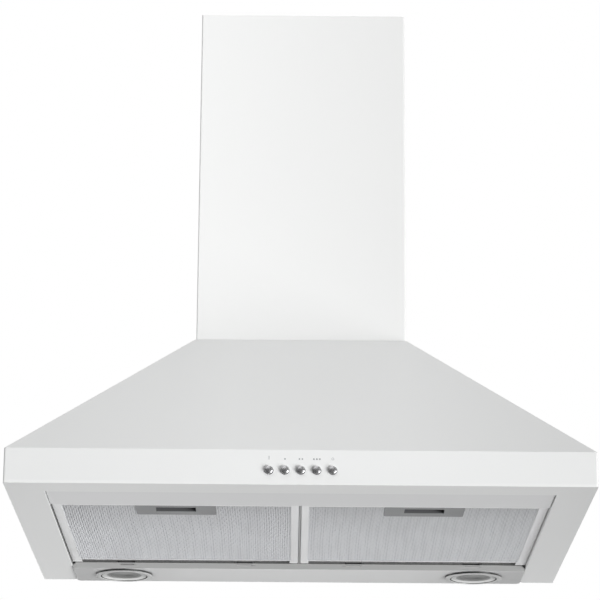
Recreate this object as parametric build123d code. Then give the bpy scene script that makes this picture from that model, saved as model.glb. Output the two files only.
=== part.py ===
# Wall-mounted chimney range hood, 600 mm wide.
# Frame: X to the right seen from the front, +Y towards the wall, +Z up.
# The wall plane is y = 0, the front face of the band is y = -500 and
# z = 0 is the underside of the rim flange.  All lengths in millimetres.
import os
from math import sin, cos, tan, radians, pi, sqrt
from build123d import *

os.makedirs("parts", exist_ok=True)

# ---------------------------------------------------------------- driving sizes
W = 600.0            # overall width
D = 500.0            # overall depth, wall to front face
H_BAND = 36.0        # height of the vertical band
Z_TOP = 223.0        # top of the pyramid
TOP_W = 237.0        # pyramid top opening, outer width
TOP_D = 252.0        # pyramid top opening, outer depth
T = 1.0              # canopy sheet

FLANGE_F = 38.5      # inward flange at the front
OPEN_X = 261.0       # half width of the underside opening
LIP = 6.0            # return lip on the side flanges

CHIM_W = 234.0       # lower chimney section, outer width
CHIM_D = 250.0       # its depth, wall to front
CHIM_TOP = 615.0     # top of the lower section
CHIM_T = 1.0
UP_GAP = 0.7         # clearance between the two sections
UP_T = 0.8           # sheet of the upper section

COVER_Z = 1.0        # underside of the front cover strip
COVER_REAR = -396.0  # rear edge of the strip
COVER_LIP = 7.7      # height of its upturned rear lip above COVER_Z

FIL_W = 259.0        # one filter cassette
FIL_GAP = 1.3        # each inner edge from the centre plane
FIL_FRONT = -394.5
FIL_REAR = -88.0
FIL_Z = 3.2
FIL_T = 10.0
RAIL_OUT = 10.0
RAIL_IN = 8.0
RAIL_F = 9.0
RAIL_R = 15.5
HINGE_Y, HINGE_Z = -83.5, 6.0   # line the cassette tips about
TAB_X = 68.0         # rear tabs from the cassette centre
TAB_W = 18.0

PANEL_Z = -1.7       # underside of the lamp panel
PANEL_FRONT = -76.5  # start of its front bevel
PANEL_T = 1.0
LAMP_X, LAMP_Y = 203.6, -40.5
LAMP_R = 33.2        # trim radius

BTN_PITCH = 16.1
BTN_Z = 15.0
BTN_R = 4.2
BTN_OUT = 3.8        # how far a button stands proud
BTN_TRAVEL = 3.5

AX_Y, AX_Z = -118.0, 190.0      # fan axis, along X
IMP_R = 74.0
SCR_Y, SCR_Z, SCR_R = -126.0, 196.0, 104.0   # scroll circle, eccentric to the axis
SCR_HW = 74.0        # scroll half width
COL_Y, COL_R = -140.0, 75.0     # outlet collar centre and outer radius
COL_Z = 310.0


def blk(x0, x1, y0, y1, z0, z1):
    """Axis-aligned block from its two corners."""
    return Pos((x0 + x1) / 2, (y0 + y1) / 2, (z0 + z1) / 2) * Box(abs(x1 - x0), abs(y1 - y0), abs(z1 - z0))


def cyl_z(x, y, z0, z1, r):
    return Pos(x, y, (z0 + z1) / 2) * Cylinder(r, abs(z1 - z0))


def cyl_y(x, z, y0, y1, r):
    return Pos(x, (y0 + y1) / 2, z) * Rot(90, 0, 0) * Cylinder(r, abs(y1 - y0))


def cyl_x(y, z, x0, x1, r):
    return Pos((x0 + x1) / 2, y, z) * Rot(0, 90, 0) * Cylinder(r, abs(x1 - x0))


def rect_face(x0, x1, y0, y1, z):
    return Pos((x0 + x1) / 2, (y0 + y1) / 2, z) * Rectangle(x1 - x0, y1 - y0)


def prism_yz(pts, x0, x1):
    """Closed polygon of (y, z) points pushed from x0 to x1."""
    f = make_face(Polyline(*[(x0, y, z) for y, z in pts], close=True))
    return extrude(f, amount=abs(x1 - x0), dir=(1, 0, 0))


def save(shape, name, label=None):
    solids = shape.solids() if hasattr(shape, "solids") else [shape]
    out = solids[0] if len(solids) == 1 else Compound(children=list(solids))
    out.label = name
    export_step(out, "parts/%s.step" % name)
    return out


def group(items):
    out = []
    for s in items:
        out.extend(s.solids())
    return Compound(children=out)


def coil(x, y, z, axis, r_mean, wire, length, turns):
    """Round-wire compression spring starting at a point, along +axis."""
    path = Helix(pitch=length / turns, height=length, radius=r_mean)
    prof = Plane(origin=path @ 0, z_dir=path % 0) * Circle(wire / 2)
    s = sweep(prof, path=path, is_frenet=True)
    if axis == "y":
        s = Rot(-90, 0, 0) * s
    return Pos(x, y, z) * s


# ---------------------------------------------------------------- canopy shell
def frustum(x_lo, y_lo, z_lo, x_hi, y_hi, z_hi):
    return loft([rect_face(-x_lo, x_lo, y_lo, 0, z_lo), rect_face(-x_hi, x_hi, y_hi, 0, z_hi)], ruled=True)


outer = blk(-W / 2, W / 2, -D, 0, 0, H_BAND) + frustum(W / 2, -D, H_BAND, TOP_W / 2, -TOP_D, Z_TOP)
front_corner = [e for e in outer.edges()
                if e.center().Y < -TOP_D * 0.9 and abs(e.center().X) > 50
                and abs(e.tangent_at(0.5).Z) > 0.3]
outer = fillet(front_corner, 2.0)
rise = Z_TOP - H_BAND
run_f = D - TOP_D
run_s = (W - TOP_W) / 2
off_f = T * sqrt(run_f ** 2 + rise ** 2) / rise
off_s = T * sqrt(run_s ** 2 + rise ** 2) / rise
inner = blk(-W / 2 + T, W / 2 - T, -D + T, 0, T, H_BAND) \
    + frustum(W / 2 - off_s, -D + off_f, H_BAND, TOP_W / 2 - off_s, -TOP_D + off_f, Z_TOP)
canopy = outer - inner
# underside opening, open to the wall at the rear
canopy -= blk(-OPEN_X, OPEN_X, -D + FLANGE_F, 1, -1, T + 0.01)
# small cut corners where the side flanges meet the wall
for s in (-1, 1):
    canopy -= Pos(s * OPEN_X, 0, 0.5) * Rot(0, 0, 45) * Box(5.6, 5.6, 3)
# return lips on the side flanges
for s in (-1, 1):
    canopy += blk(s * OPEN_X, s * (OPEN_X + T), -D + FLANGE_F + 4, -4.5, T * 0.0, T + LIP)
# rounded fold between each side flange and its return lip
canopy = fillet([e for e in canopy.edges() if abs(e.tangent_at(0.5).Y) > 0.999 and e.length > 300
                 and abs(abs(e.center().X) - OPEN_X) < 0.01 and abs(e.center().Z) < 0.01], 0.8)
# top rim: a flat lip that the chimney stands on, open for the blower
lip = blk(-TOP_W / 2 + 1.2, TOP_W / 2 - 1.2, -TOP_D + 1.3, 0, Z_TOP - 1, Z_TOP) \
    - blk(-98, 98, -240, 1, Z_TOP - 2, Z_TOP + 1)
canopy += lip
for s in (-1, 1):
    for y in (-200, -60):
        canopy -= cyl_z(s * 107, y, Z_TOP - 2, Z_TOP + 1, 2.1)
# button holes
for i in range(5):
    canopy -= cyl_y((i - 2) * BTN_PITCH, BTN_Z, -D - 1, -D + 2, BTN_R + 0.4)
# welded studs for the cover strip
for s in (-1, 1):
    for x in (140, 272):
        canopy += cyl_z(s * x, -478, T * 0.5, 9.0, 1.5)
save(canopy, "canopy")

# ---------------------------------------------------------------- back plate
BP_T = 1.2
hx = lambda z: W / 2 - off_s - (z - H_BAND) * run_s / rise
bp_half = [(255.0, 0.0), (255.0, T), (W / 2 - T, T), (W / 2 - T, H_BAND), (hx(H_BAND), H_BAND),
           (hx(Z_TOP - 1), Z_TOP - 1)]
bp_pts = bp_half + [(-x, z) for x, z in reversed(bp_half)]
bp = extrude(make_face(Polyline(*[(x, -BP_T, z) for x, z in bp_pts], close=True)), amount=BP_T, dir=(0, 1, 0))
HANG_X, HANG_Z = 110.0, 176.0
LOW_X, LOW_Z = 225.0, 34.0
for s in (-1, 1):
    bp -= cyl_y(s * HANG_X, HANG_Z, -3, 2, 4.25)      # hanging holes
    bp -= cyl_y(s * LOW_X, LOW_Z, -3, 2, 3.0)         # lower fixing holes
for x in (-225, -90, 90, 225):
    bp -= cyl_y(x, 8.0, -3, 2, 1.9)                   # pilot holes for the lamp panel screws
save(bp, "back_plate")

# ---------------------------------------------------------------- front cover strip
cz = COVER_Z
cov = blk(-285, 285, -492, -463, cz, cz + T) + blk(-260.3, 260.3, -464, COVER_REAR, cz, cz + T)
cov += blk(-260.3, 260.3, COVER_REAR - T, COVER_REAR, cz, cz + COVER_LIP)
cov = fillet([e for e in cov.edges() if abs(e.tangent_at(0.5).X) > 0.99 and e.length > 400
              and abs(e.center().Y - COVER_REAR + T) < 0.05 and abs(e.center().Z - cz - T) < 0.05], 2.0)
cov = fillet([e for e in cov.edges() if abs(e.tangent_at(0.5).X) > 0.99 and e.length > 400
              and abs(e.center().Y - COVER_REAR) < 0.05 and abs(e.center().Z - cz) < 0.05], 3.0)
for s in (-1, 1):
    for x in (140, 272):
        cov -= cyl_z(s * x, -478, 0, 4, 1.7)
save(cov, "front_cover")


def hex_nut(x, y, z0, h, af, bore):
    n = Pos(x, y, z0) * extrude(RegularPolygon(af / sqrt(3), 6), amount=h)
    return n - cyl_z(x, y, z0 - 1, z0 + h + 1, bore)


save(group([hex_nut(s * x, -478, cz + T, 2.4, 5.5, 1.5) for s in (-1, 1) for x in (140, 272)]), "cover_nuts")

# ---------------------------------------------------------------- lamp panel
pz, pt = PANEL_Z, PANEL_T
FZ = 3.1      # underside of the bevel's front fold
fold = HINGE_Y - 0.5
prof = [(-BP_T, pz), (PANEL_FRONT, pz), (fold, FZ), (fold, 15.0), (fold + 1.0, 15.0), (fold + 1.0, FZ + 0.75),
        (PANEL_FRONT + 0.15, pz + pt), (-BP_T - 1.0, pz + pt), (-BP_T - 1.0, 13.0), (-BP_T, 13.0)]
panel = prism_yz(prof, -260.3, 260.3)
# rounded bends at the bevel's two edges
panel = fillet([e for e in panel.edges() if abs(e.tangent_at(0.5).X) > 0.99
                and abs(e.center().Y - fold) < 0.01 and abs(e.center().Z - FZ) < 0.01], 0.9)
panel = fillet([e for e in panel.edges() if abs(e.tangent_at(0.5).X) > 0.99
                and abs(e.center().Y - PANEL_FRONT) < 0.01 and abs(e.center().Z - pz) < 0.01], 1.5)
for s in (-1, 1):
    # outer flanges beside the canopy lips
    panel += blk(s * 259.3, s * 260.3, PANEL_FRONT, -2, pz + 0.5, 9.0)
    for k in (-1, 1):
        cx = s * (FIL_GAP + FIL_W / 2) + k * TAB_X
        panel -= blk(cx - 10.5, cx + 10.5, fold - 2, fold + 3.0, 3.7, 11.0)
        panel -= blk(cx - 8.8, cx + 8.8, fold + 1.2, fold + 3.0, -1.0, 3.65)
    panel -= cyl_z(s * LAMP_X, LAMP_Y, pz - 1, pz + 3, 29.0)
    panel -= Pos(s * 260.3, -BP_T, 0) * Rot(0, 0, 45) * Box(5.0, 5.0, 40)
    panel -= Pos(s * 260.3, fold, 0) * Rot(0, 0, 45) * Box(6.0, 6.0, 40)
for x in (-225, -90, 90, 225):
    panel -= cyl_y(x, 8.0, -6, 0, 2.1)
save(panel, "lamp_panel")


def screw_y(x, z, y_head, length, r=1.9, rh=3.4, hh=2.0):
    """Pan-head screw whose head bears on y_head and whose shank runs towards the wall."""
    s = cyl_y(x, z, y_head - hh, y_head, rh) + cyl_y(x, z, y_head, y_head + length, r)
    s -= blk(x - 2.2, x + 2.2, y_head - hh - 1, y_head - hh + 0.9, z - 0.4, z + 0.4)
    s -= blk(x - 0.4, x + 0.4, y_head - hh - 1, y_head - hh + 0.9, z - 2.2, z + 2.2)
    return s


def screw_z(x, y, z_head, length, r=1.9, rh=3.4, hh=2.0):
    s = cyl_z(x, y, z_head, z_head + hh, rh) + cyl_z(x, y, z_head - length, z_head, r)
    s -= blk(x - 2.2, x + 2.2, y - 0.4, y + 0.4, z_head + hh - 0.9, z_head + hh + 1)
    s -= blk(x - 0.4, x + 0.4, y - 2.2, y + 2.2, z_head + hh - 0.9, z_head + hh + 1)
    return s


save(group([screw_y(x, 8.0, -BP_T - 1.0, 2.1) for x in (-225, -90, 90, 225)]), "lamp_panel_screws")

# ---------------------------------------------------------------- lamps
for s, side in ((-1, "left"), (1, "right")):
    x, y = s * LAMP_X, LAMP_Y
    # trim: a low convex ring with a step near its inner edge
    ring = [(15.4, -1.5), (15.4, -2.5), (18.0, -2.5), (22.5, -3.0), (25.4, -3.6), (25.9, -3.9), (26.1, -2.9), (27.0, -2.9),
            (27.2, -4.3), (27.8, -4.5), (29.0, -4.5), (31.0, -4.3), (32.4, -4.0), (LAMP_R, -3.7), (LAMP_R, -3.5), (32.6, -3.4),
            (32.6, pz), (28.3, pz), (28.3, 6.0), (27.1, 6.0), (27.1, -1.5)]
    f = make_face(Polyline(*[(r, 0, z) for r, z in ring], close=True))
    save(Pos(x, y, 0) * revolve(f, Axis.Z), "lamp_trim_%s" % side)
    # glass: a shallow dish seated on the trim's inner lip
    g = [(0, -3.2), (5, -3.15), (10, -2.9), (15.0, -2.4), (15.0, -1.5), (18.5, -1.5), (18.5, -0.4), (12, -1.0), (0, -1.6)]
    f = make_face(Polyline(*[(r, 0, z) for r, z in g], close=True))
    save(Pos(x, y, 0) * revolve(f, Axis.Z), "lamp_glass_%s" % side)
    # holder: a can that carries the reflector and the socket
    h = [(28.3, 6.0), (28.3, 20.0), (8.0, 27.0), (8.0, 34.0), (0, 34.0), (0, 30.5), (6.0, 30.5), (6.0, 26.5), (26.8, 19.2), (26.8, 6.0)]
    f = make_face(Polyline(*[(r, 0, z) for r, z in h], close=True))
    save(Pos(x, y, 0) * revolve(f, Axis.Z), "lamp_holder_%s" % side)
    # bulb: a glass capsule with two pins in the socket
    b = cyl_z(x, y, 12, 28, 4.6) + Pos(x, y, 12) * Sphere(4.6)
    b += cyl_z(x - 2, y, 28, 30.5, 0.5) + cyl_z(x + 2, y, 28, 30.5, 0.5)
    save(b, "lamp_bulb_%s" % side)

# ---------------------------------------------------------------- filters
for s, side in ((-1, "left"), (1, "right")):
    cx = s * (FIL_GAP + FIL_W / 2)
    xo, xi = s * (FIL_GAP + FIL_W), s * FIL_GAP           # outer and inner edges
    z0, z1 = FIL_Z, FIL_Z + FIL_T
    fr = blk(min(xo, xi), max(xo, xi), FIL_FRONT, FIL_REAR, z0, z1)
    fr = fillet([e for e in fr.edges() if abs(e.tangent_at(0.5).Z) > 0.9], 2.0)
    fr = fillet([e for e in fr.edges() if abs(e.center().Z - z0) < 0.01], 0.9)
    ax0, ax1 = xo - s * RAIL_OUT, xi + s * RAIL_IN          # inner faces of the rails
    lo, hi = min(ax0, ax1), max(ax0, ax1)
    fr -= blk(lo, hi, FIL_FRONT + RAIL_F, FIL_REAR - RAIL_R, z0 - 1, z1 + 1)
    # seat that the mesh pack sits in, as a groove round the opening
    fr -= blk(lo - 3, hi + 3, FIL_FRONT + RAIL_F - 3, FIL_REAR - RAIL_R + 0.7, z0 + 1.2, z1 - 1.2)
    # drip channel along the rear rail, its rear wall standing a little higher than the rails, with a drain hole at each end
    fr -= blk(lo + 1.5, hi - 1.5, FIL_REAR - RAIL_R + 1.3, FIL_REAR - 1.3, z0 - 1, z0 + 7.0)
    fr -= blk(lo + 1.5, hi - 1.5, FIL_REAR - 1.4, FIL_REAR + 1, z0 - 1, z0 + 1.6)
    for x in (lo + 4.6, hi - 4.6):
        fr -= cyl_z(x, FIL_REAR - 8.0, z0, z1 + 1, 2.6)
    # slot for the latch bar through the front rail
    fr -= blk(cx - 21.6, cx + 21.6, FIL_FRONT - 1, FIL_FRONT + RAIL_F + 1, 8.9, 11.5)
    for k in (-1, 1):
        tx = cx + k * TAB_X
        fr += blk(tx - TAB_W / 2, tx + TAB_W / 2, FIL_REAR - 2, HINGE_Y + 8.0, HINGE_Z - 0.6, HINGE_Z + 0.6)
    save(fr, "filter_frame_%s" % side)

    LW, LF, LR = 42.0, FIL_FRONT + RAIL_F, -342.3          # latch plate half width, front and rear
    # mesh pack: a thin layered sheet with a turned-up rim, clamped in the frame's groove
    mesh = blk(lo - 2.9, hi + 2.9, FIL_FRONT + RAIL_F - 2.9, FIL_REAR - RAIL_R + 0.6, z0 + 1.3, z1 - 1.3)
    mesh -= blk(lo - 1.4, hi + 1.4, FIL_FRONT + RAIL_F - 1.4, FIL_REAR - RAIL_R - 0.9, z0 + 3.0, z1)
    mesh -= blk(cx - LW - 0.1, cx + LW + 0.1, LF - 4, LR + 0.1, z0, z1)
    save(mesh, "filter_mesh_%s" % side)

    lp = blk(cx - LW, cx + LW, LF, LR, z0, z1 - 0.6)
    lp = fillet([e for e in lp.edges() if abs(e.tangent_at(0.5).Z) > 0.9 and e.center().Y > LF + 5], 3.0)
    lp -= blk(cx - 21.6, cx + 21.6, LF - 1, -345.0, 8.9, 11.5)       # slide channel
    lp -= blk(cx - 21.0, cx + 21.0, -376.4, -357.0, z0 - 1, 9.2)     # finger recess
    lp -= blk(cx - 3.0, cx + 3.0, -357.5, -345.0, 7.9, 12.1)         # spring pocket
    save(lp, "latch_plate_%s" % side)

    sl = blk(cx - 21, cx + 21, -385.0, -356.2, 9.2, 11.2)            # sliding bar
    sl += blk(cx - 18, cx + 18, -401.0, -384.0, 9.2, 11.2)           # tongue over the cover lip
    sl += blk(cx - 19, cx + 19, -375.8, -373.2, 4.6, 9.4)            # finger grip
    sl = fillet([e for e in sl.edges() if abs(e.center().Z - 4.6) < 0.01], 0.6)
    save(sl, "latch_slide_%s" % side)
    save(coil(cx, -356.0, 10.0, "y", 1.5, 0.5, 10.8, 7), "latch_spring_%s" % side)

# ---------------------------------------------------------------- divider and seal
# a T-shaped strip between the two cassettes, spot-welded to the cover's lip and the panel's front fold
div = blk(-0.7, 0.7, COVER_REAR, fold, FIL_Z + 0.5, 14.4) + blk(-6, 6, COVER_REAR, fold, 13.8, 14.8)
save(div, "filter_divider")
# a thin foam strip on the left lip, which takes up the cassettes' sideways play
save(blk(-OPEN_X, -OPEN_X + 0.35, -394.0, fold - 4.0, 1.0, T + LIP - 0.3), "seal_strip")

# ---------------------------------------------------------------- switch
sw = blk(-44, 44, -498.9, -497.4, 4.0, 26.0) + blk(-42, 42, -497.4, -474.0, 5.0, 25.0)
for i in range(5):
    x = (i - 2) * BTN_PITCH
    sw -= cyl_y(x, BTN_Z, -500, -478.0, BTN_R + 0.4)
    sw -= cyl_y(x, BTN_Z, -479, -473.0, 2.4)
save(sw, "switch_housing")
save(group([blk(x - 3.2 + dx, x - 3.2 + dx + 0.8, -474.0, -467.0, z, z + 4.8)
            for x in [(i - 2) * BTN_PITCH for i in range(5)] for dx, z in ((-1.5, 5.6), (7.0, 5.6))]), "switch_terminals")
for i in range(5):
    x = (i - 2) * BTN_PITCH
    # button: crowned cap with a rolled-over edge, on a stem; it slides in the housing bore
    cap = [(0.74 * k, -BTN_OUT + 0.0546 * (0.74 * k) ** 2) for k in range(6)]
    cap += [(BTN_R - 0.8 * (1 - sin(radians(a))), -BTN_OUT + 0.7475 + 0.8 * (cos(radians(22)) - cos(radians(a))))
            for a in (33.5, 45, 56, 67.5, 79, 90)]
    cap += [(BTN_R, 12.0), (2.0, 12.0), (2.0, 27.0), (0, 27.0)]
    f = make_face(Polyline(*[(r, 0, z) for r, z in cap], close=True))
    b = revolve(f, Axis.Z)
    save(Pos(x, -D, BTN_Z) * Rot(-90, 0, 0) * b, "button_%d" % (i + 1))
save(group([coil((i - 2) * BTN_PITCH, -487.7, BTN_Z, "y", 3.1, 0.5, 9.3, 5) for i in range(5)]), "switch_springs")

# ---------------------------------------------------------------- chimney
cw, t = CHIM_W / 2, CHIM_T
low = blk(-cw, cw, -CHIM_D, -1.6, Z_TOP, CHIM_TOP)
low = fillet([e for e in low.edges() if abs(e.tangent_at(0.5).Z) > 0.9 and e.center().Y < -200], 1.6)
low -= blk(-cw + t, cw - t, -CHIM_D + t, -2.6, Z_TOP - 1, CHIM_TOP + 1)
low -= blk(-105, 105, -10, 0, Z_TOP - 1, CHIM_TOP + 1)
for s in (-1, 1):
    low += blk(s * 98.5, s * (cw - 0.5), -215, -45, Z_TOP, Z_TOP + t)
    for y in (-200, -60):
        low -= cyl_z(s * 107, y, Z_TOP - 1, Z_TOP + 3, 2.1)
save(low, "chimney_lower")

uw = cw - t - UP_GAP
UZ0, UZ1 = Z_TOP + 1.5, CHIM_TOP - 0.6
up = blk(-uw, uw, -CHIM_D + t + UP_GAP, -6.0, UZ0, UZ1)
up = fillet([e for e in up.edges() if abs(e.tangent_at(0.5).Z) > 0.9 and e.center().Y < -200], 1.2)
up -= blk(-uw + UP_T, uw - UP_T, -CHIM_D + t + UP_GAP + UP_T, -7.0, UZ0 - 1, UZ1 + 1)
up -= blk(-106, 106, -12, 0, UZ0 - 1, UZ1 + 1)
# air slots of the recirculating outlet, near the top of both sides
for k in range(6):
    zc = UZ1 - 40 - 11 * k
    sl = blk(-uw - 2, uw + 2, -165, -85, zc - 2, zc + 2)
    up -= sl
save(up, "chimney_upper")


def wall_bracket(z, y_tongue, name):
    b = blk(-95, 95, -1.2, 0, z, z + 28)
    for s in (-1, 1):
        b += blk(s * 94, s * 101, -1.2, 0, z, z + 28)
        b += blk(s * 99.6, s * 101, y_tongue, 0, z, z + 28)
        b += blk(s * 99.6, s * 112, y_tongue, y_tongue + 1.2, z, z + 28)
        b -= cyl_y(s * 60, z + 14, -3, 1, 3.0)
    save(b, name)


wall_bracket(520, -4.4, "wall_bracket_lower")
wall_bracket(578, -8.9, "wall_bracket_upper")

# ---------------------------------------------------------------- blower
def scroll(o):
    c = cyl_x(SCR_Y, SCR_Z, -SCR_HW + o, SCR_HW - o, SCR_R - o)
    duct = blk(-SCR_HW + o, SCR_HW - o, SCR_Y - SCR_R + o, SCR_Y + 2 - o, SCR_Z, 296.0)
    return c + duct


plen_o = blk(-84, 84, -236, -44, 292, COL_Z)
plen_i = blk(-82.5, 82.5, -234.5, -45.5, 293.5, COL_Z - 1.5)
house = (scroll(0) + plen_o) - scroll(1.5) - plen_i
house -= blk(-SCR_HW + 1.5, SCR_HW - 1.5, SCR_Y - SCR_R + 1.5, SCR_Y + 0.5, 285, 300)
house -= cyl_x(AX_Y, AX_Z, -SCR_HW - 1, SCR_HW + 1, 62.0)
house -= cyl_z(0, COL_Y, COL_Z - 3, COL_Z + 1, 72.0)
for s in (-1, 1):
    for a in (90, 210, 330):
        house -= cyl_x(AX_Y + 67 * cos(radians(a)), AX_Z + 67 * sin(radians(a)), s * (SCR_HW - 3), s * (SCR_HW + 1), 1.6)
for s, side in ((-1, "left"), (1, "right")):
    plate = house & blk(s * (SCR_HW - 1.5), s * SCR_HW, -300, 0, 0, 292.0)
    save(plate, "blower_side_%s" % side)
for s in (-1, 1):
    house -= blk(s * (SCR_HW - 1.5), s * (SCR_HW + 1.0), -300, 0, 0, 292.0)
save(house, "blower_housing")

# impeller: two rows of forward-curved blades either side of a centre disc
ring = cyl_x(AX_Y, AX_Z, -64, 64, IMP_R) - cyl_x(AX_Y, AX_Z, -65, 65, 60.0)
cutters = []
N = 30
for k in range(N):
    a = 360.0 / N * k
    bx = Box(58.0, 10.5, 30.0)
    for sx in (-1, 1):
        cutters.append(Pos(sx * 31.0, AX_Y, AX_Z) * Rot(a, 0, 0) * Pos(0, 0, 67.0) * Rot(28, 0, 0) * bx)
imp = ring - Compound(children=[c for c in cutters])
disc = cyl_x(AX_Y, AX_Z, -1.2, 1.2, IMP_R - 1) - cyl_x(AX_Y, AX_Z, -2, 2, 4.0)
for k in range(6):
    a = radians(60 * k + 30)
    disc -= cyl_x(AX_Y + 34 * cos(a), AX_Z + 34 * sin(a), -2, 2, 9.0)
imp += disc
for sx in (-1, 1):
    imp += cyl_x(AX_Y, AX_Z, sx * 61.0, sx * 64.0, IMP_R) - cyl_x(AX_Y, AX_Z, sx * 60.0, sx * 65.0, 60.0)
imp += cyl_x(AX_Y, AX_Z, -14, 1.0, 10.0) - cyl_x(AX_Y, AX_Z, -15, 2, 4.0)
save(imp, "impeller")

shaft = cyl_x(AX_Y, AX_Z, -16, 66, 4.0)
shaft -= blk(-16.5, -4, AX_Y - 5, AX_Y + 5, AX_Z + 3.2, AX_Z + 5)
save(shaft, "motor_shaft")

motor = cyl_x(AX_Y, AX_Z, 12, 68, 40.0)
motor = fillet([e for e in motor.edges() if e.length > 200], 4.0)
motor += cyl_x(AX_Y, AX_Z, 7, 12.5, 13.0)
motor -= cyl_x(AX_Y, AX_Z, 5, 66.6, 4.25)
for k in range(8):
    a = radians(45 * k)
    motor -= cyl_x(AX_Y + 28 * cos(a), AX_Z + 28 * sin(a), 10, 20, 3.5)
save(motor, "motor_body")

mb = cyl_x(AX_Y, AX_Z, 68, 70, 38.0) - cyl_x(AX_Y, AX_Z, 67, 71, 12.0)
for a in (90, 210, 330):
    arm = Pos(0, AX_Y, AX_Z) * Rot(a, 0, 0) * blk(68, 70, 30, 58.5, -7, 7)
    arm += Pos(0, AX_Y, AX_Z) * Rot(a, 0, 0) * blk(68, SCR_HW + 1.5, 56.5, 58.5, -7, 7)
    arm += Pos(0, AX_Y, AX_Z) * Rot(a, 0, 0) * blk(SCR_HW, SCR_HW + 1.5, 56.5, 72.0, -7, 7)
    mb += arm
for a in (90, 210, 330):
    mb -= cyl_x(AX_Y + 67 * cos(radians(a)), AX_Z + 67 * sin(radians(a)), SCR_HW - 1, SCR_HW + 3, 1.6)
save(mb, "motor_bracket")


def grille(x0, x1):
    g = cyl_x(AX_Y, AX_Z, x0, x1, 71.5) - cyl_x(AX_Y, AX_Z, x0 - 1, x1 + 1, 61.0)
    for r in (50, 38, 26, 14):
        g += cyl_x(AX_Y, AX_Z, x0, x1, r + 1.1) - cyl_x(AX_Y, AX_Z, x0 - 1, x1 + 1, r - 1.1)
    for k in range(6):
        g += Pos(0, AX_Y, AX_Z) * Rot(60 * k, 0, 0) * blk(x0, x1, 14, 62, -1.2, 1.2)
    for a in (90, 210, 330):
        g -= cyl_x(AX_Y + 67 * cos(radians(a)), AX_Z + 67 * sin(radians(a)), x0 - 1, x1 + 1, 1.6)
    return g


save(grille(-SCR_HW - 2.0, -SCR_HW), "inlet_grille_left")
save(grille(SCR_HW + 1.5, SCR_HW + 3.5), "inlet_grille_right")

scr = []
for s in (-1, 1):
    for a in (90, 210, 330):
        y, z = AX_Y + 67 * cos(radians(a)), AX_Z + 67 * sin(radians(a))
        h = SCR_HW + (2.0 if s < 0 else 3.5)
        scr.append(cyl_x(y, z, s * h, s * (h + 1.8), 3.0) + cyl_x(y, z, s * (SCR_HW - 3), s * h, 1.5))
save(group(scr), "blower_screws")

# mounts: two angles that hang the blower under the top rim
mounts = []
for s in (-1, 1):
    m = blk(s * SCR_HW, s * 115, -212, -48, Z_TOP - 3, Z_TOP - 1)
    m += blk(s * SCR_HW, s * (SCR_HW + 2), -212, -196, Z_TOP - 40, Z_TOP - 1)
    m += blk(s * SCR_HW, s * (SCR_HW + 2), -60, -48, Z_TOP - 24, Z_TOP - 1)
    # clearance round the inlet grille
    m -= cyl_x(AX_Y, AX_Z, s * (SCR_HW - 1), s * (SCR_HW + 6), 73.0)
    for y in (-200, -60):
        m -= cyl_z(s * 107, y, Z_TOP - 5, Z_TOP + 1, 2.1)
    mounts.append(m)
save(group(mounts), "blower_mounts")
save(group([screw_z(s * 107, y, Z_TOP + t, 6.0) for s in (-1, 1) for y in (-200, -60)]), "chimney_screws")

# ---------------------------------------------------------------- outlet collar and flaps
FL_Z = 321.0
col = cyl_z(0, COL_Y, COL_Z, 372, COL_R) - cyl_z(0, COL_Y, COL_Z - 1, 373, COL_R - 1.6)
col += cyl_z(0, COL_Y, COL_Z, COL_Z + 1.5, 81.0) - cyl_z(0, COL_Y, COL_Z - 1, COL_Z + 3, COL_R - 1.0)
col += cyl_z(0, COL_Y, FL_Z - 2.0, FL_Z - 0.75, COL_R - 0.5) - cyl_z(0, COL_Y, FL_Z - 3, FL_Z, 70.0)
col -= cyl_y(0, FL_Z, COL_Y - 80, COL_Y + 80, 1.2)
save(col, "outlet_collar")
save(cyl_y(0, FL_Z, COL_Y - COL_R, COL_Y + COL_R, 1.2), "flap_pin")
for s, side, ks in ((-1, "left", (-52, 0, 52)), (1, "right", (-26, 26))):
    half = cyl_z(0, COL_Y, FL_Z - 0.5, FL_Z + 0.5, 72.2)
    half = half & blk(s * 3.1, s * 80, COL_Y - 80, COL_Y + 80, FL_Z - 1, FL_Z + 1)
    for k in ks:
        y = COL_Y + k
        half += blk(0, s * 4.0, y - 5, y + 5, FL_Z - 0.5, FL_Z + 0.5)
        half += cyl_y(0, FL_Z, y - 5, y + 5, 2.5)
        half -= cyl_y(0, FL_Z, y - 6, y + 6, 1.4)
    half = Compound(children=half.solids()) if len(half.solids()) > 1 else half
    save(half, "flap_%s" % side)

# ---------------------------------------------------------------- electrics on the back plate
jb = blk(120, 184, -33.2, -BP_T, 70, 116) - blk(122, 182, -34, -BP_T - 2, 72, 114)
jb = jb + cyl_y(126, 76, -33.2, -3.0, 3.2) + cyl_y(178, 110, -33.2, -3.0, 3.2)
jb -= cyl_y(126, 76, -34, -22, 1.3) + cyl_y(178, 110, -34, -22, 1.3)
jb -= cyl_z(152, -17, 113, 118, 6.0)
save(jb, "junction_box")
lid = blk(119.4, 184.6, -35.2, -33.2, 69.4, 116.6)
lid = fillet([e for e in lid.edges() if abs(e.tangent_at(0.5).Y) > 0.9], 2.0)
for x, z in ((126, 76), (178, 110)):
    lid -= cyl_y(x, z, -36, -32, 1.7)
save(lid, "junction_box_lid")
save(group([cyl_y(x, z, -36.8, -35.2, 2.8) + cyl_y(x, z, -35.2, -24, 1.3) for x, z in ((126, 76), (178, 110))]),
     "junction_box_screws")
gl = cyl_z(152, -17, 111, 118, 6.0) + Pos(152, -17, 116) * extrude(RegularPolygon(9.5, 6), amount=5)
gl += cyl_z(152, -17, 121, 129, 7.2) + cyl_z(152, -17, 111, 113.9, 8.0)
gl -= cyl_z(152, -17, 110, 130, 4.0)
save(gl, "cable_gland")
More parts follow.
